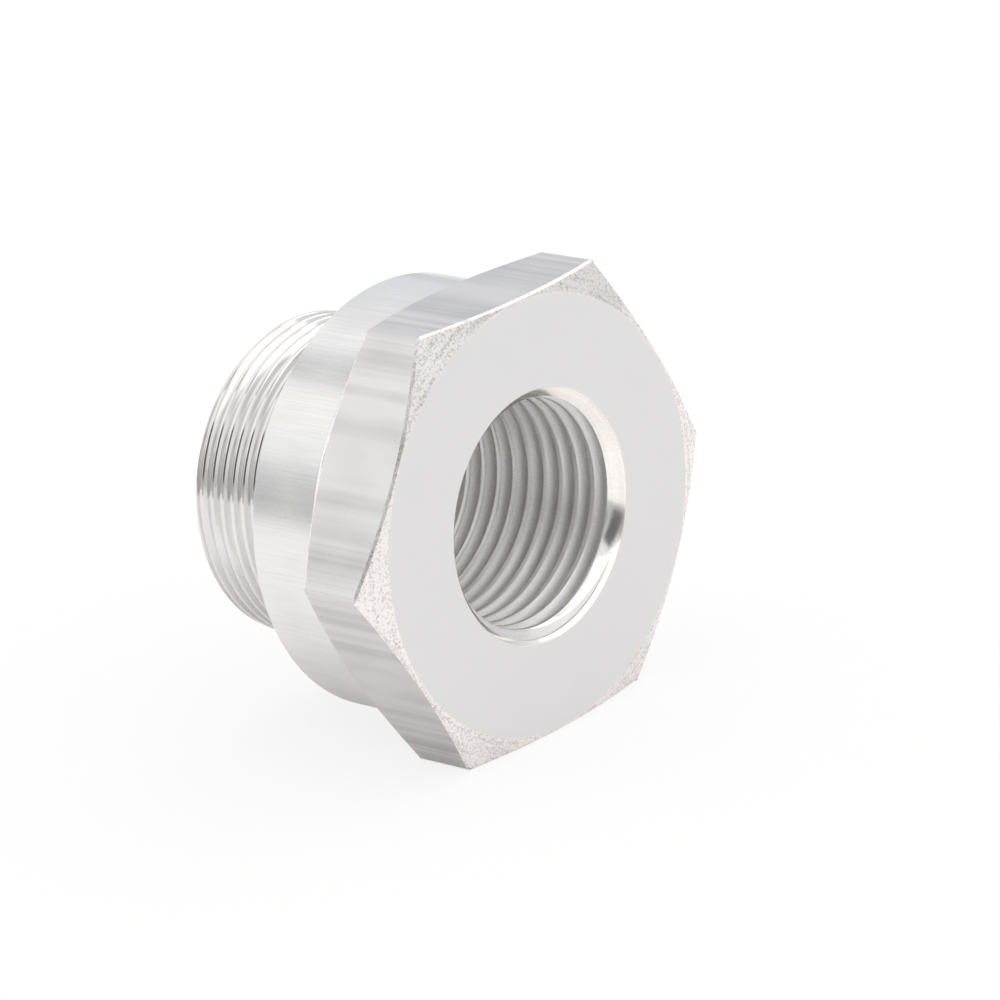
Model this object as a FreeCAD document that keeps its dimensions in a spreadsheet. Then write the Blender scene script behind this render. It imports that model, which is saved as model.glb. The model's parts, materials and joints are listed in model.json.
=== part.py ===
# Sensor adapter: a fitting turned and milled from one piece of aluminium bar. A hexagon for the spanner carries a plain
# round shoulder and a fine male thread, and a tapped hole for the sensor runs right through.
#
# The axis is the Y axis. The flat sensor face lies in the plane y = 0 with its centre at the origin, and the male
# thread points towards +Y. Two flats of the hexagon are level, so the fitting lies on one of them, and +Z is up.
# Lengths are in millimetres and angles in degrees.

import FreeCAD, Part
import os
import Sketcher

SIZES = {
    # Hexagon. Its sharp corners are turned off by a little. Each bevel starts on a ring that lies inside the flats by
    # its inset, and its angle is measured from the flat face that it runs into.
    "hex_flats": 32.0,
    "hex_thickness": 6.9,
    "hex_corner_turned_off": 0.075,
    "face_ring_inset": 0.2,
    "face_bevel_angle": 20.5,
    "back_ring_inset": 0.15,
    "back_bevel_angle": 25.0,
    # Plain shoulder behind the hexagon
    "shoulder_diameter": 31.3,
    "shoulder_length": 6.25,
    "shoulder_edge_break": 0.2,
    # Male thread: 24 x 1, with its crests turned down below the nominal radius
    "male_nominal": 24.0,
    "male_crest_cut": 0.1,
    "male_pitch": 1.0,
    "male_length": 9.6,
    "male_lead_in": 0.7,
    # The tool that cuts the male thread starts in the undercut, this far from the shoulder, and its edge is a little
    # wider than the groove is deep.
    "thread_tool_start": 0.15,
    "thread_tool_overreach": 0.12,
    # Undercut between the male thread and the shoulder: its width in pitches and its depth below the thread's root
    "undercut_pitches": 1.6,
    "undercut_clearance": 0.12,
    # Sensor thread: 18 x 1.5, tapped right through. The countersinks reach past its nominal radius.
    "sensor_nominal": 18.0,
    "sensor_pitch": 1.5,
    "face_countersink_reach": 0.2,
    "end_countersink_reach": 0.3,
    # The end mill that cuts the flats runs this far beyond the hexagon's corners.
    "milling_margin": 1.0,
}

# Where the parts of the section lie, as expressions of the sizes. An ISO metric thread's triangle is sqrt(3) / 2 of
# the pitch high. Outside, 17/24 of it is cut away down to the root, and inside, 5/8 of it stands as the crest.
SHOULDER_END = "(sizes.hex_thickness + sizes.shoulder_length)"
FREE_END = f"({SHOULDER_END} + sizes.male_length)"
THREAD_START = f"({SHOULDER_END} + sizes.undercut_pitches * sizes.male_pitch)"

SHARP_CORNER_RADIUS = "(sizes.hex_flats / 2 / cos(30))"
CORNER_RADIUS = f"({SHARP_CORNER_RADIUS} - sizes.hex_corner_turned_off)"
FACE_RING_RADIUS = "(sizes.hex_flats / 2 - sizes.face_ring_inset)"
BACK_RING_RADIUS = "(sizes.hex_flats / 2 - sizes.back_ring_inset)"
SHOULDER_RADIUS = "(sizes.shoulder_diameter / 2)"
MALE_CREST_RADIUS = "(sizes.male_nominal / 2 - sizes.male_crest_cut)"
MALE_ROOT_RADIUS = "(sizes.male_nominal / 2 - sizes.male_pitch * sqrt(3) / 2 * 17 / 24)"
UNDERCUT_RADIUS = f"({MALE_ROOT_RADIUS} - sizes.undercut_clearance)"
SENSOR_CREST_RADIUS = "(sizes.sensor_nominal / 2 - sizes.sensor_pitch * sqrt(3) / 2 * 5 / 8)"
FACE_COUNTERSINK_RADIUS = "(sizes.sensor_nominal / 2 + sizes.face_countersink_reach)"
END_COUNTERSINK_RADIUS = "(sizes.sensor_nominal / 2 + sizes.end_countersink_reach)"

FRONT_CORNER = f"(({CORNER_RADIUS} - {FACE_RING_RADIUS}) * tan(sizes.face_bevel_angle))"
BACK_CORNER = f"(sizes.hex_thickness - ({CORNER_RADIUS} - {BACK_RING_RADIUS}) * tan(sizes.back_bevel_angle))"

# The groove of the male thread has flanks at 60 degrees to each other. At the nominal radius it is 7/8 of the pitch
# wide, and it is drawn as far out as the tool reaches.
TOOL_RADIUS = f"({MALE_CREST_RADIUS} + sizes.thread_tool_overreach)"
GROOVE_HALF_WIDTH = f"(sizes.male_pitch * 7 / 16 + ({TOOL_RADIUS} - sizes.male_nominal / 2) * tan(30))"
ROOT_HALF_WIDTH = f"(sizes.male_pitch * 7 / 16 - (sizes.male_nominal / 2 - {MALE_ROOT_RADIUS}) * tan(30))"
GROOVE_START = f"({SHOULDER_END} + sizes.thread_tool_start + {GROOVE_HALF_WIDTH})"
GROOVE = [
    (TOOL_RADIUS, f"{GROOVE_START} - {GROOVE_HALF_WIDTH}"),
    (MALE_ROOT_RADIUS, f"{GROOVE_START} - {ROOT_HALF_WIDTH}"),
    (MALE_ROOT_RADIUS, f"{GROOVE_START} + {ROOT_HALF_WIDTH}"),
    (TOOL_RADIUS, f"{GROOVE_START} + {GROOVE_HALF_WIDTH}"),
]

# The half section that is turned about the axis: each point is its radius and its place along the axis. The undercut's
# far side and both countersinks slope at 45 degrees.
SECTION = [
    (FACE_COUNTERSINK_RADIUS, "0"),
    (FACE_RING_RADIUS, "0"),
    (CORNER_RADIUS, FRONT_CORNER),
    (CORNER_RADIUS, BACK_CORNER),
    (BACK_RING_RADIUS, "sizes.hex_thickness"),
    (SHOULDER_RADIUS, "sizes.hex_thickness"),
    (SHOULDER_RADIUS, f"{SHOULDER_END} - sizes.shoulder_edge_break"),
    (f"{SHOULDER_RADIUS} - sizes.shoulder_edge_break", SHOULDER_END),
    (UNDERCUT_RADIUS, SHOULDER_END),
    (UNDERCUT_RADIUS, f"{THREAD_START} - ({MALE_CREST_RADIUS} - {UNDERCUT_RADIUS})"),
    (MALE_CREST_RADIUS, THREAD_START),
    (MALE_CREST_RADIUS, f"{FREE_END} - sizes.male_lead_in"),
    (f"{MALE_CREST_RADIUS} - sizes.male_lead_in", FREE_END),
    (END_COUNTERSINK_RADIUS, FREE_END),
    (SENSOR_CREST_RADIUS, f"{FREE_END} - ({END_COUNTERSINK_RADIUS} - {SENSOR_CREST_RADIUS})"),
    (SENSOR_CREST_RADIUS, f"{FACE_COUNTERSINK_RADIUS} - {SENSOR_CREST_RADIUS}"),
]

doc = FreeCAD.newDocument("sensor_adapter")


def make_sheet():
    """Puts the driving sizes in a spreadsheet, one named cell each."""
    sheet = doc.addObject("Spreadsheet::Sheet", "sizes")
    for row, (name, value) in enumerate(SIZES.items(), start=1):
        sheet.set(f"A{row}", name)
        sheet.set(f"B{row}", str(value))
        sheet.setAlias(f"B{row}", name)
    doc.recompute()


def origin_part(body, role):
    """Returns the body's own origin plane or axis that has this role."""
    return next(feature for feature in body.Origin.OriginFeatures if feature.Role == role)


def new_sketch(body, name, plane):
    """Adds a sketch on one of the body's origin planes."""
    sketch = body.newObject("Sketcher::SketchObject", name)
    sketch.AttachmentSupport = (origin_part(body, plane), [""])
    sketch.MapMode = "FlatFace"
    return sketch


def bind(sketch, kind, geometry, point, text):
    """Adds one dimension to a sketch, from the origin to a point, and binds it to an expression.

    A line's start is its point 1 and its end is its point 2, a circle's centre is its point 3, and geometry -1 is the
    horizontal axis, with the origin as its point 1.
    """
    value = sketch.evalExpression(text)
    number = sketch.addConstraint(Sketcher.Constraint(kind, -1, 1, geometry, point, value))
    sketch.setExpression(f"Constraints[{number}]", text)


def draw_outline(sketch, points):
    """Draws a closed outline of straight lines through points that are given as pairs of expressions."""
    places = [FreeCAD.Vector(*[sketch.evalExpression(text) for text in point]) for point in points]
    count = len(points)
    first = sketch.GeometryCount
    for index, place in enumerate(places):
        sketch.addGeometry(Part.LineSegment(place, places[(index + 1) % count]), False)
    for index, (across, along) in enumerate(points):
        line = first + index
        previous = first + (index - 1) % count
        sketch.addConstraint(Sketcher.Constraint("Coincident", previous, 2, line, 1))
        bind(sketch, "DistanceX", line, 1, across)
        if along == "0":
            sketch.addConstraint(Sketcher.Constraint("PointOnObject", line, 1, -1))
        else:
            bind(sketch, "DistanceY", line, 1, along)


def turn_blank(body):
    """Turns the whole section, with the hole and both bevels of the hexagon, from round bar."""
    sketch = new_sketch(body, "turned_section", "XY_Plane")
    draw_outline(sketch, SECTION)
    blank = body.newObject("PartDesign::Revolution", "turned_blank")
    blank.Profile = sketch
    blank.ReferenceAxis = (sketch, ["V_Axis"])
    blank.Angle = 360
    doc.recompute()


def mill_hexagon(body):
    """Mills the six flats as one pocket between the hexagon and a circle outside it."""
    before = body.Shape.Volume
    sketch = new_sketch(body, "hexagon_outline", "XZ_Plane")
    corner = SHARP_CORNER_RADIUS
    # A hexagon with two level flats: its corners lie every 60 degrees from the X axis.
    corners = [
        (corner, "0"),
        (f"{corner} / 2", "sizes.hex_flats / 2"),
        (f"-{corner} / 2", "sizes.hex_flats / 2"),
        (f"-{corner}", "0"),
        (f"-{corner} / 2", "-sizes.hex_flats / 2"),
        (f"{corner} / 2", "-sizes.hex_flats / 2"),
    ]
    draw_outline(sketch, corners)
    reach = f"{corner} + sizes.milling_margin"
    circle = Part.Circle(FreeCAD.Vector(), FreeCAD.Vector(0, 0, 1), sketch.evalExpression(reach))
    ring = sketch.addGeometry(circle, False)
    sketch.addConstraint(Sketcher.Constraint("Coincident", ring, 3, -1, 1))
    radius = sketch.addConstraint(Sketcher.Constraint("Radius", ring, sketch.evalExpression(reach)))
    sketch.setExpression(f"Constraints[{radius}]", reach)
    flats = body.newObject("PartDesign::Pocket", "hexagon_flats")
    flats.Profile = sketch
    flats.setExpression("Length", "sizes.hex_thickness")
    doc.recompute()
    if flats.Shape.Volume >= before:
        raise RuntimeError("the hexagon's flats were cut away from the blank, not into it")


def cut_male_thread(body):
    """Cuts the right-handed male thread as one helical groove, from the undercut out past the free end."""
    before = body.Shape.Volume
    sketch = new_sketch(body, "thread_groove", "XY_Plane")
    draw_outline(sketch, GROOVE)
    thread = body.newObject("PartDesign::SubtractiveHelix", "male_thread")
    thread.Profile = sketch
    thread.ReferenceAxis = (sketch, ["V_Axis"])
    thread.Mode = "pitch-height-angle"
    thread.setExpression("Pitch", "sizes.male_pitch")
    thread.setExpression("Height", "sizes.male_length")
    doc.recompute()
    if thread.Shape.Volume >= before:
        raise RuntimeError("the male thread's groove missed the spigot")


def check_document():
    """Stops if any object of the document has failed."""
    for item in doc.Objects:
        if "Invalid" in item.State or "Error" in item.State:
            raise RuntimeError(f"{item.Name} has failed: {item.State}")


def export(body):
    """Writes the body to a STEP file that has its name."""
    shape = body.Shape
    if shape.isNull() or not shape.isValid() or len(shape.Solids) != 1:
        raise RuntimeError(f"{body.Label} isn't one valid solid")
    os.makedirs("parts", exist_ok=True)
    shape.exportStep(f"parts/{body.Label}.step")
    print(f"{body.Label}: {shape.Volume:.1f} cubic mm, box {shape.BoundBox}")


make_sheet()
adapter = doc.addObject("PartDesign::Body", "adapter_body")
adapter.Label = "adapter_body"
turn_blank(adapter)
mill_hexagon(adapter)
cut_male_thread(adapter)
check_document()
export(adapter)
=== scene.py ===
import json
from math import asin, cos, hypot, pi, radians, sin, sqrt, tan

import bmesh
import bpy
from mathutils import Matrix, Vector


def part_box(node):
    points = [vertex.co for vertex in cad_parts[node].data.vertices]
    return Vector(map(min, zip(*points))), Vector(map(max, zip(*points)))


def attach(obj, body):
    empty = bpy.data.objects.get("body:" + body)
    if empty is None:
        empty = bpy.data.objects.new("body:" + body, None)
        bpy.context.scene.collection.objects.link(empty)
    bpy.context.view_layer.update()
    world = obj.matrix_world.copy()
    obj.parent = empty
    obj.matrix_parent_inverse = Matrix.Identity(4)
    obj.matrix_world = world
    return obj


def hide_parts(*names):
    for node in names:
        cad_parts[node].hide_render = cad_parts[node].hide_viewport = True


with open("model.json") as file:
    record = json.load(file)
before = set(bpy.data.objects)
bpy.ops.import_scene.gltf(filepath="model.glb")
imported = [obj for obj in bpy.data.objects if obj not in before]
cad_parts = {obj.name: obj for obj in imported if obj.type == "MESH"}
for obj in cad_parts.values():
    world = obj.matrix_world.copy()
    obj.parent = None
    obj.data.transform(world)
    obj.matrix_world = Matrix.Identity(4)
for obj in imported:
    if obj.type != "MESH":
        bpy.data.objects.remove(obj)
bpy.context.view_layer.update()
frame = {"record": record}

# The sensor adapter lies on one flat of its hexagon. Its axis is the Y axis, the sensor face is at y = 0, and the male
# thread points away from the camera, towards +Y. Everything is in metres.
MM = 0.001

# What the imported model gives
lowest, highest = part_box("adapter_body")
mounts = {mount["name"]: mount for mount in frame["record"]["mounts"]}
HEX_HALF_WIDTH = -lowest[2]
CORNER_RADIUS = highest[0]
LENGTH = highest[1]
SENSOR_CREST = mounts["sensor_thread"]["dims"]["r_mm"] * MM
SHOULDER_END = mounts["shoulder_face"]["pos_m"][1]

# The rest of the turned section
HEX_THICKNESS = 6.9 * MM
FACE_RING = HEX_HALF_WIDTH - 0.2 * MM
FACE_BEVEL = radians(20.5)
BACK_RING = HEX_HALF_WIDTH - 0.15 * MM
BACK_BEVEL = radians(25)
SHOULDER_RADIUS = 15.65 * MM
SHOULDER_BREAK = 0.2 * MM
FILLET_RUN = 0.5 * MM
FILLET_STEPS = 6
MALE_PITCH = 1.0 * MM
MALE_NOMINAL = 12.0 * MM
# The crests are worn round, a little below their height as cut.
MALE_CREST = MALE_NOMINAL - 0.2 * MM
MALE_ROOT = MALE_NOMINAL - MALE_PITCH * sqrt(3) / 2 * 17 / 24
MALE_LEAD_IN = 0.45 * MM
UNDERCUT_WIDTH = 1.6 * MM
UNDERCUT_RADIUS = MALE_ROOT - 0.12 * MM
SENSOR_PITCH = 1.5 * MM
SENSOR_NOMINAL = 9.0 * MM
FACE_COUNTERSINK = SENSOR_NOMINAL + 0.2 * MM
END_COUNTERSINK = SENSOR_NOMINAL + 0.3 * MM

# How finely round forms are divided
STEPS = 240
WELD = 0.0005 * MM

# Breaks of the edges
EDGE_BREAK = 0.05 * MM
FLAT_CHAMFER = 0.15 * MM
CHAMFERED_ANGLE = radians(35)
RIM_SLACK = 0.1 * MM
CREASE_ANGLE = radians(15)

# The grooves of both threads: their widths are measured along the axis, at the crests and on the groove's floor.
FLANK = radians(30)
GROOVE_REACH = 0.05 * MM
CREST_BREAK = 0.07 * MM
CREST_SPREAD = 1.3
MALE_WIDTH = 0.76 * MM
MALE_FLOOR = 0.2 * MM
MALE_START = SHOULDER_END + 0.62 * MM
MALE_TURNS = 10
SENSOR_ROOT = SENSOR_NOMINAL - 0.1 * MM
SENSOR_WIDTH = 1.125 * MM
SENSOR_FLOOR = 0.303 * MM
SENSOR_TURNS = 18

# How near a face has to lie to a surface to have its finish
BORE_SLACK = 0.05 * MM
CREST_SLACK = 0.1 * MM
FACE_SLACK = 0.002 * MM
STEP_SLACK = 0.001 * MM
SHOULDER_SLACK = 0.01 * MM
SUNK_SLANT = (0.6, 0.8)
BEVEL_SLANT = 0.15

# The marks in the metal, in cells to the mm, and how much each changes the tone and the gloss
ALONG_GRAIN = 0.15
SPECKLES = 6.0
CLOUDS = 0.35
DARK_SHARE = 0.16
CLOUD_SHADE = 0.25
SPECKLE_HEIGHT = 0.35
SPECKLE_GLOSS = 0.3
CLOUD_GLOSS = 0.35
LEAST_ROUGHNESS = 0.05
PIT_DEPTH = 0.006


def foot_fillet():
    """Lists the hollow fillet between the back of the hexagon and the shoulder."""
    rise, run = BACK_RING - SHOULDER_RADIUS, FILLET_RUN
    radius = (rise * rise + run * run) / (2 * rise)
    sweep = asin(run / radius)
    return [
        (SHOULDER_RADIUS + radius * (1 - cos(sweep * share / FILLET_STEPS)),
         HEX_THICKNESS + run - radius * sin(sweep * share / FILLET_STEPS))
        for share in range(FILLET_STEPS - 1, -1, -1)
    ]


def turned_section():
    """Lists the half section of the turned blank as pairs of radius and place along the axis."""
    thread_start = SHOULDER_END + UNDERCUT_WIDTH
    undercut_slope = MALE_CREST - UNDERCUT_RADIUS
    return [
        (FACE_COUNTERSINK, 0),
        (FACE_RING, 0),
        (CORNER_RADIUS, (CORNER_RADIUS - FACE_RING) * tan(FACE_BEVEL)),
        (CORNER_RADIUS, HEX_THICKNESS - (CORNER_RADIUS - BACK_RING) * tan(BACK_BEVEL)),
        (BACK_RING, HEX_THICKNESS),
        *foot_fillet(),
        (SHOULDER_RADIUS, SHOULDER_END - SHOULDER_BREAK),
        (SHOULDER_RADIUS - SHOULDER_BREAK, SHOULDER_END),
        (UNDERCUT_RADIUS, SHOULDER_END),
        (UNDERCUT_RADIUS, thread_start - undercut_slope),
        (MALE_CREST, thread_start),
        (MALE_CREST, LENGTH - MALE_LEAD_IN),
        (MALE_CREST - MALE_LEAD_IN, LENGTH),
        (END_COUNTERSINK, LENGTH),
        (SENSOR_CREST, LENGTH - (END_COUNTERSINK - SENSOR_CREST)),
        (SENSOR_CREST, FACE_COUNTERSINK - SENSOR_CREST),
    ]


def wire_loop(form, places):
    """Adds a closed loop of edges through places given as pairs of radius and place along the axis."""
    points = [form.verts.new((radius, along, 0)) for radius, along in places]
    edges = [form.edges.new(pair) for pair in zip(points, points[1:] + points[:1])]
    return points, edges


def mesh_object(form, name):
    """Turns a bmesh into an object of the scene."""
    mesh = bpy.data.meshes.new(name)
    form.to_mesh(mesh)
    form.free()
    piece = bpy.data.objects.new(name, mesh)
    bpy.context.scene.collection.objects.link(piece)
    return piece


def turn_blank():
    """Spins the section about the axis, with its turned edges lightly rounded."""
    form = bmesh.new()
    points = wire_loop(form, turned_section())[0]
    bmesh.ops.bevel(form, geom=points, offset=EDGE_BREAK, affect="VERTICES", segments=2, profile=0.5, material=-1)
    half_step = Matrix.Rotation(pi / STEPS, 3, "Y")
    bmesh.ops.rotate(form, verts=form.verts[:], cent=(0, 0, 0), matrix=half_step)
    bmesh.ops.spin(
        form, geom=form.verts[:] + form.edges[:], cent=(0, 0, 0), axis=(0, 1, 0), angle=2 * pi, steps=STEPS,
        use_merge=True,
    )
    bmesh.ops.remove_doubles(form, verts=form.verts[:], dist=WELD)
    bmesh.ops.recalc_face_normals(form, faces=form.faces[:])
    return form


def mill_flats(form):
    """Cuts the six flats of the hexagon, closes them and chamfers their front and back edges."""
    for side in range(6):
        outward = Vector((cos(radians(30 + 60 * side)), 0, sin(radians(30 + 60 * side))))
        cut = bmesh.ops.bisect_plane(
            form, geom=form.verts[:] + form.edges[:] + form.faces[:], dist=WELD, plane_co=outward * HEX_HALF_WIDTH,
            plane_no=outward, clear_outer=True,
        )
        rim = [edge for edge in cut["geom_cut"] if isinstance(edge, bmesh.types.BMEdge)]
        bmesh.ops.holes_fill(form, edges=rim, sides=0)
    bmesh.ops.recalc_face_normals(form, faces=form.faces[:])
    sharp = [
        edge for edge in form.edges
        if edge.is_manifold and edge.is_convex and edge.calc_face_angle() > CHAMFERED_ANGLE
        and min(Vector((vert.co.x, vert.co.z)).length for vert in edge.verts) > HEX_HALF_WIDTH - RIM_SLACK
        and max(vert.co.y for vert in edge.verts) < HEX_THICKNESS
    ]
    bmesh.ops.bevel(
        form, geom=sharp, offset=FLAT_CHAMFER, affect="EDGES", segments=1, profile=0.5, material=-1,
        clamp_overlap=False,
    )
    return form


def thread_cutter(name, crest, root, pitch, width, floor_width, start, turns):
    """Sweeps the groove of a thread along its helix, as a closed solid."""
    out = 1 if crest > root else -1
    # The groove's corners at the crest are broken, so the crests look worn.
    flank_half = width / 2 - CREST_BREAK * tan(FLANK)
    mouth_half = flank_half + (CREST_BREAK + GROOVE_REACH) * CREST_SPREAD
    profile = [
        (root, -floor_width / 2),
        (root, floor_width / 2),
        (crest - out * CREST_BREAK, flank_half),
        (crest + out * GROOVE_REACH, mouth_half),
        (crest + out * GROOVE_REACH, -mouth_half),
        (crest - out * CREST_BREAK, -flank_half),
    ]
    form = bmesh.new()
    points, edges = wire_loop(form, [(radius, start + along) for radius, along in profile])
    half_step = Matrix.Rotation(pi / STEPS, 3, "Y")
    bmesh.ops.rotate(form, verts=form.verts[:], cent=(0, 0, 0), matrix=half_step)
    bmesh.ops.spin(
        form, geom=points + edges, cent=(0, 0, 0), axis=(0, 1, 0), dvec=(0, pitch / STEPS, 0), angle=2 * pi,
        steps=STEPS,
    )
    first_turn = form.verts[:] + form.edges[:] + form.faces[:]
    for turn in range(1, turns):
        copy = bmesh.ops.duplicate(form, geom=first_turn)
        moved = [item for item in copy["geom"] if isinstance(item, bmesh.types.BMVert)]
        bmesh.ops.translate(form, verts=moved, vec=(0, pitch * turn, 0))
    bmesh.ops.remove_doubles(form, verts=form.verts[:], dist=WELD)
    ends = [edge for edge in form.edges if edge.is_boundary]
    bmesh.ops.holes_fill(form, edges=ends, sides=0)
    bmesh.ops.recalc_face_normals(form, faces=form.faces[:])
    return mesh_object(form, name)


def cut(piece, cutter):
    """Takes the cutter out of the piece and removes the cutter."""
    groove = piece.modifiers.new("groove", "BOOLEAN")
    groove.object = cutter
    groove.operation = "DIFFERENCE"
    groove.solver = "MANIFOLD"
    view = bpy.context.evaluated_depsgraph_get()
    result = bpy.data.meshes.new_from_object(piece.evaluated_get(view))
    piece.modifiers.clear()
    piece.data = result
    bpy.data.objects.remove(cutter)


class Number:
    """Wraps a number's socket, so that shader maths reads as expressions."""

    def __init__(self, nodes, socket):
        self.nodes = nodes
        self.socket = socket

    def maths(self, operation, *terms):
        return Number(self.nodes, self.nodes.add("ShaderNodeMath", {"operation": operation}, dict(enumerate(terms))))

    def __add__(self, other):
        return self.maths("ADD", self, other)

    def __sub__(self, other):
        return self.maths("SUBTRACT", self, other)

    def __rsub__(self, other):
        return self.maths("SUBTRACT", other, self)

    def __mul__(self, other):
        return self.maths("MULTIPLY", self, other)

    def __truediv__(self, other):
        return self.maths("DIVIDE", self, other)

    def __abs__(self):
        return self.maths("ABSOLUTE", self)

    __radd__ = __add__
    __rmul__ = __mul__

    def root(self):
        return self.maths("SQRT", self)

    def most(self, other):
        return self.maths("MAXIMUM", self, other)

    def least(self, other):
        return self.maths("MINIMUM", self, other)

    def rise(self, low, high):
        """Goes smoothly from 0 at the low value to 1 at the high one."""
        settings = {"interpolation_type": "SMOOTHSTEP"}
        if low > high:
            return 1 - self.rise(high, low)
        return Number(self.nodes, self.nodes.add("ShaderNodeMapRange", settings, {0: self, 1: low, 2: high}))


class Nodes:
    """Adds nodes to one node tree."""

    def __init__(self, tree):
        self.tree = tree

    def add(self, kind, settings=None, values=None, output=0):
        """Adds a node with its settings, then the value or the link of each socket, and returns one output."""
        made = self.tree.nodes.new(kind)
        for name, value in (settings or {}).items():
            setattr(made, name, value)
        for name, value in (values or {}).items():
            if isinstance(value, Number):
                value = value.socket
            if isinstance(value, bpy.types.NodeSocket):
                self.tree.links.new(value, made.inputs[name])
            else:
                made.inputs[name].default_value = value
        return made.outputs[output]

    def number(self, *terms):
        return Number(self, self.add(*terms))

    def position(self, per_unit=1):
        """Returns the three object coordinates, each times a number."""
        place = self.add("ShaderNodeTexCoord", output="Object")
        parts = [self.add("ShaderNodeSeparateXYZ", values={0: place}, output=index) for index in range(3)]
        return [Number(self, part) * per_unit for part in parts]

    def vector(self, x, y, z):
        return self.add("ShaderNodeCombineXYZ", values={0: x, 1: y, 2: z})

    def noise(self, place, scale, detail=2.0, rough=0.5):
        values = {"Vector": place, "Scale": scale, "Detail": detail, "Roughness": rough}
        return self.number("ShaderNodeTexNoise", None, values)

    def blend(self, factor, first, second):
        """Mixes two colours."""
        return self.add("ShaderNodeMix", {"data_type": "RGBA"}, {0: factor, 6: first, 7: second}, output=2)


def colour(red, green, blue):
    return (red, green, blue, 1)


def grey(level):
    return colour(level, level, level)


def pitting(nodes, place):
    """Scatters a few small pits: 1 inside a pit and 0 elsewhere."""
    cells = nodes.number("ShaderNodeTexVoronoi", None, {"Vector": place, "Scale": 1.1})
    spots = nodes.number("ShaderNodeTexVoronoi", None, {"Vector": place, "Scale": 3.2})
    chance = nodes.noise(place, 0.9, 0.0)
    return (cells.rise(0.13, 0.05) * chance.rise(0.5, 0.6)).most(spots.rise(0.2, 0.08) * chance.rise(0.45, 0.38))


def metal_finish(name, pale, dark, rough, fine, grain, depth, line_shade, speckle_shade, pitted=False):
    """Makes one finish of the bare metal. Its grain is turned, drawn or rings, with so many fine lines to the mm."""
    made = bpy.data.materials.new(name)
    made.use_nodes = True
    nodes = Nodes(made.node_tree)
    shader = made.node_tree.nodes["Principled BSDF"]
    x, y, z = nodes.position(1 / MM)
    radius = (x * x + z * z).root()
    stretched = {
        "turned": lambda: nodes.vector(x * ALONG_GRAIN, y * fine, z * ALONG_GRAIN),
        "drawn": lambda: nodes.vector(x * fine, y * ALONG_GRAIN, z * fine),
        "rings": lambda: nodes.vector(radius * fine, x * ALONG_GRAIN, z * ALONG_GRAIN),
    }[grain]
    place = nodes.vector(x, y, z)
    lines = nodes.noise(stretched(), 1.0)
    speckle = nodes.noise(place, SPECKLES, 1.0, 0.6)
    cloud = nodes.noise(place, CLOUDS, 0.0)
    shade = (lines - 0.5) * line_shade + (speckle - 0.5) * speckle_shade + (cloud - 0.5) * CLOUD_SHADE
    height = lines * depth + speckle * (SPECKLE_HEIGHT * depth)
    factor = (DARK_SHARE - shade).most(0).least(1)
    if pitted:
        pit = pitting(nodes, place)
        factor = factor.most(pit)
        height = height - pit * PIT_DEPTH
    base = nodes.blend(factor, pale, dark)
    made.node_tree.links.new(base, shader.inputs["Base Color"])
    gloss = rough + (speckle - 0.5) * (SPECKLE_GLOSS * rough) + (cloud - 0.5) * (CLOUD_GLOSS * rough)
    made.node_tree.links.new(gloss.most(LEAST_ROUGHNESS).socket, shader.inputs["Roughness"])
    shader.inputs["Metallic"].default_value = 1
    bump = nodes.add("ShaderNodeBump", None, {"Strength": 1.0, "Distance": MM, "Height": height})
    made.node_tree.links.new(bump, shader.inputs["Normal"])
    return made


def region(face):
    """Tells which finish a face of the adapter has."""
    centre = face.center
    radius = hypot(centre.x, centre.z)
    if radius < END_COUNTERSINK + BORE_SLACK:
        sunk = FACE_COUNTERSINK - SENSOR_CREST
        deep = sunk < centre.y < LENGTH - sunk or radius < SENSOR_CREST + BORE_SLACK
        slanted = SUNK_SLANT[0] < abs(face.normal.y) < SUNK_SLANT[1]
        return "countersinks" if slanted and not deep else "sensor_thread"
    if centre.y < FACE_SLACK:
        return "sensor_face"
    if centre.y > SHOULDER_END - SHOULDER_SLACK or radius < MALE_CREST + CREST_SLACK:
        return "male_thread"
    if centre.y > HEX_THICKNESS + STEP_SLACK:
        return "shoulder"
    if abs(face.normal.y) > BEVEL_SLANT:
        return "bevels"
    return "flats"


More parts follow.
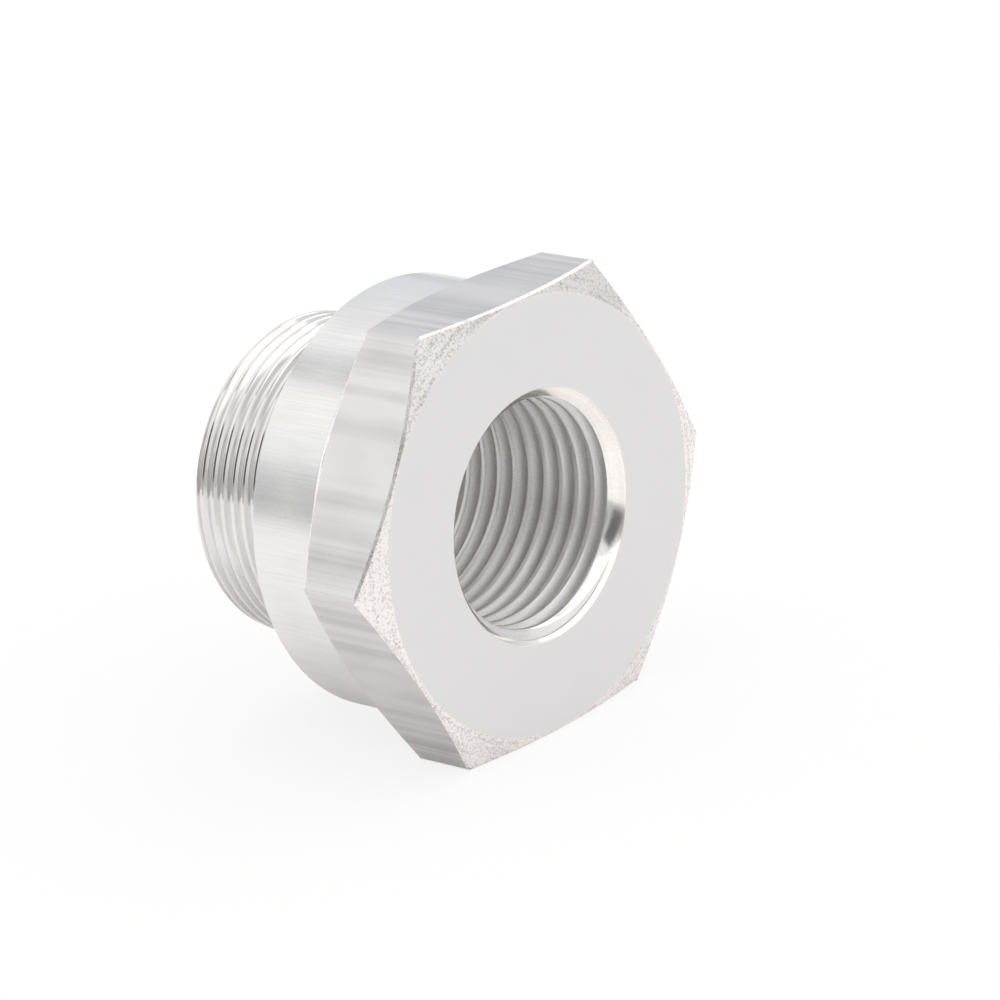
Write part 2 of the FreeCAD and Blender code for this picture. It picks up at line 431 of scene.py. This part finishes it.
def make_adapter():
    """Turns the blank, mills its flats, cuts both threads and gives each face its finish."""
    adapter = mesh_object(mill_flats(turn_blank()), "adapter")
    cut(adapter, thread_cutter(
        "male_groove", MALE_CREST, MALE_ROOT, MALE_PITCH, MALE_WIDTH, MALE_FLOOR, MALE_START, MALE_TURNS,
    ))
    cut(adapter, thread_cutter(
        "sensor_groove", SENSOR_CREST, SENSOR_ROOT, SENSOR_PITCH, SENSOR_WIDTH, SENSOR_FLOOR, -SENSOR_PITCH,
        SENSOR_TURNS,
    ))
    finishes = {
        "sensor_face": metal_finish(
            "lapped_face", pale=colour(0.98, 0.95, 0.94), dark=colour(0.40, 0.38, 0.36), rough=0.42, fine=4,
            grain="rings", depth=0.0020, line_shade=0.9, speckle_shade=1.8, pitted=True,
        ),
        "bevels": metal_finish(
            "turned_bevel", pale=colour(0.79, 0.78, 0.775), dark=grey(0.30), rough=0.20, fine=3.5,
            grain="rings", depth=0.0016, line_shade=1.1, speckle_shade=0.15,
        ),
        "flats": metal_finish(
            "drawn_flat", pale=colour(0.90, 0.90, 0.895), dark=colour(0.50, 0.50, 0.51), rough=0.24, fine=8,
            grain="drawn", depth=0.0006, line_shade=0.4, speckle_shade=0.2,
        ),
        "shoulder": metal_finish(
            "turned_shoulder", pale=colour(0.85, 0.84, 0.835), dark=colour(0.52, 0.51, 0.50), rough=0.10, fine=6,
            grain="turned", depth=0.0005, line_shade=0.3, speckle_shade=0.15,
        ),
        "male_thread": metal_finish(
            "cut_thread", pale=colour(0.88, 0.87, 0.86), dark=colour(0.50, 0.49, 0.48), rough=0.48, fine=6,
            grain="turned", depth=0.0012, line_shade=0.5, speckle_shade=0.6,
        ),
        "sensor_thread": metal_finish(
            "tapped_thread", pale=colour(0.98, 0.965, 0.94), dark=colour(0.66, 0.62, 0.56), rough=0.14, fine=5,
            grain="turned", depth=0.0010, line_shade=0.6, speckle_shade=0.6,
        ),
        "countersinks": metal_finish(
            "turned_countersink", pale=colour(0.86, 0.855, 0.85), dark=grey(0.50), rough=0.12, fine=6,
            grain="rings", depth=0.0006, line_shade=0.4, speckle_shade=0.2,
        ),
    }
    names = list(finishes)
    for name in names:
        adapter.data.materials.append(finishes[name])
    for face in adapter.data.polygons:
        face.material_index = names.index(region(face))
    adapter.data.shade_smooth()
    adapter.data.set_sharp_from_angle(angle=CREASE_ANGLE)
    even = adapter.modifiers.new("even", "WEIGHTED_NORMAL")
    even.keep_sharp = True
    return adapter


adapter = make_adapter()
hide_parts("adapter_body")
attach(adapter, "root")

FLOOR_HALF = 600 * MM
PAPER = colour(1, 0.975, 0.97)
# How far the paper is lifted to plain white where it is seen and where it is mirrored, so that its shadow stays faint
PAPER_LIFT = 0.8
MIRRORED_LIFT = 0.1


def lay_floor():
    """Lays the pale paper that the part stands on."""
    form = bmesh.new()
    bmesh.ops.create_grid(form, x_segments=1, y_segments=1, size=FLOOR_HALF)
    bmesh.ops.translate(form, verts=form.verts[:], vec=(0, 0, lowest[2]))
    floor = mesh_object(form, "floor")
    paper = bpy.data.materials.new("paper")
    paper.use_nodes = True
    nodes = Nodes(paper.node_tree)
    matt = paper.node_tree.nodes["Principled BSDF"]
    matt.inputs["Base Color"].default_value = PAPER
    matt.inputs["Roughness"].default_value = 1
    matt.inputs["Specular IOR Level"].default_value = 0
    rays = ("Is Camera Ray", "Is Glossy Ray", "Is Transmission Ray")
    seen, mirrored, through = (nodes.number("ShaderNodeLightPath", None, None, ray) for ray in rays)
    glow = nodes.add("ShaderNodeEmission", values={"Strength": 1})
    lift = seen * PAPER_LIFT + (mirrored + through) * MIRRORED_LIFT
    lifted = nodes.add("ShaderNodeMixShader", values={0: lift, 1: matt.outputs[0], 2: glow})
    paper.node_tree.links.new(lifted, paper.node_tree.nodes["Material Output"].inputs["Surface"])
    floor.data.materials.append(paper)
    return floor


lay_floor()

# The room's light by direction. Directions are degrees: azimuth from +Y towards +X, and elevation above the floor.
ROOM_LOW = grey(0.53)
ROOM_HIGH = grey(0.87)
ROOM_RISE = (0, 30)
OVERHEAD = grey(1.30)
OVERHEAD_RISE = (54, 66)
# Each soft box has its azimuth and elevation, half its width and height, the width of its soft edge, and its light.
# A later one covers those before it.
SOFT_BOXES = [
    (-5, 10, 17, 12, 6, grey(1.2)),
    (47, 17, 14, 9, 6, colour(0.80, 0.81, 0.84)),
    (-43, 26, 8, 5, 3, grey(1.02)),
    (-29, 38, 10, 9, 3, colour(1.10, 1.09, 1.06)),
    (-9, 46.5, 5, 4, 2, colour(0.60, 0.60, 0.61)),
    (14, 46, 5, 4, 3, grey(1.05)),
    (90, 44, 22, 10, 5, grey(1.5)),
    (170, 3, 62, 14, 4, grey(0.46)),
    (168, 39, 38, 17, 3, grey(1.3)),
    (179, 21, 23, 7, 2, grey(1.4)),
    (-143, 15, 6, 11, 3, colour(0.13, 0.13, 0.14)),
    (-114, 24, 14, 14, 5, colour(0.12, 0.12, 0.13)),
]
BEHIND = (0, 0.1)
DEGREES = 180 / pi


def light_room():
    """Lights the part from all round: a grey room, a bright overhead, and soft boxes, seen as plain white."""
    world = bpy.data.worlds.new("room")
    bpy.context.scene.world = world
    world.use_nodes = True
    nodes = Nodes(world.node_tree)
    x, y, z = nodes.position()
    height = z.maths("ARCSINE", z) * DEGREES
    light = nodes.blend(height.rise(*ROOM_RISE), ROOM_LOW, ROOM_HIGH)
    light = nodes.blend(height.rise(*OVERHEAD_RISE), light, OVERHEAD)
    for azimuth, elevation, half_width, half_height, soft, shade in SOFT_BOXES:
        turn, lift = radians(azimuth), radians(elevation)
        ahead = (cos(lift) * sin(turn), cos(lift) * cos(turn), sin(lift))
        aside = (cos(turn), -sin(turn), 0)
        upward = (-sin(lift) * sin(turn), -sin(lift) * cos(turn), cos(lift))
        depth, across, up = (x * axis[0] + y * axis[1] + z * axis[2] for axis in (ahead, aside, upward))
        width = abs(across) / depth * DEGREES
        tall = abs(up) / depth * DEGREES
        inside = width.rise(half_width + soft, half_width) * tall.rise(half_height + soft, half_height)
        light = nodes.blend(inside * depth.rise(*BEHIND), light, shade)
    path = nodes.add("ShaderNodeLightPath", output="Is Camera Ray")
    light = nodes.blend(path, light, grey(1))
    world.node_tree.links.new(light, world.node_tree.nodes["Background"].inputs["Color"])


light_room()

CAMERA_PLACE = Vector((-258.85, -241.20, 127.64)) * MM
CAMERA_AIM = Vector((2.002, 5.706, -0.345)) * MM
CAMERA_ROLL = radians(-6.633)
CAMERA_LENS = 193.46


def place_camera():
    """Stands the camera where the photograph was taken from."""
    lens = bpy.data.cameras.new("camera")
    lens.lens = CAMERA_LENS
    lens.sensor_width = 36
    lens.clip_start = 0.01
    camera = bpy.data.objects.new("camera", lens)
    bpy.context.scene.collection.objects.link(camera)
    look = (CAMERA_AIM - CAMERA_PLACE).to_track_quat("-Z", "Y").to_matrix().to_4x4()
    camera.matrix_world = Matrix.Translation(CAMERA_PLACE) @ look @ Matrix.Rotation(CAMERA_ROLL, 4, "Z")
    bpy.context.scene.camera = camera


place_camera()
bpy.context.scene.view_settings.view_transform = "Standard"
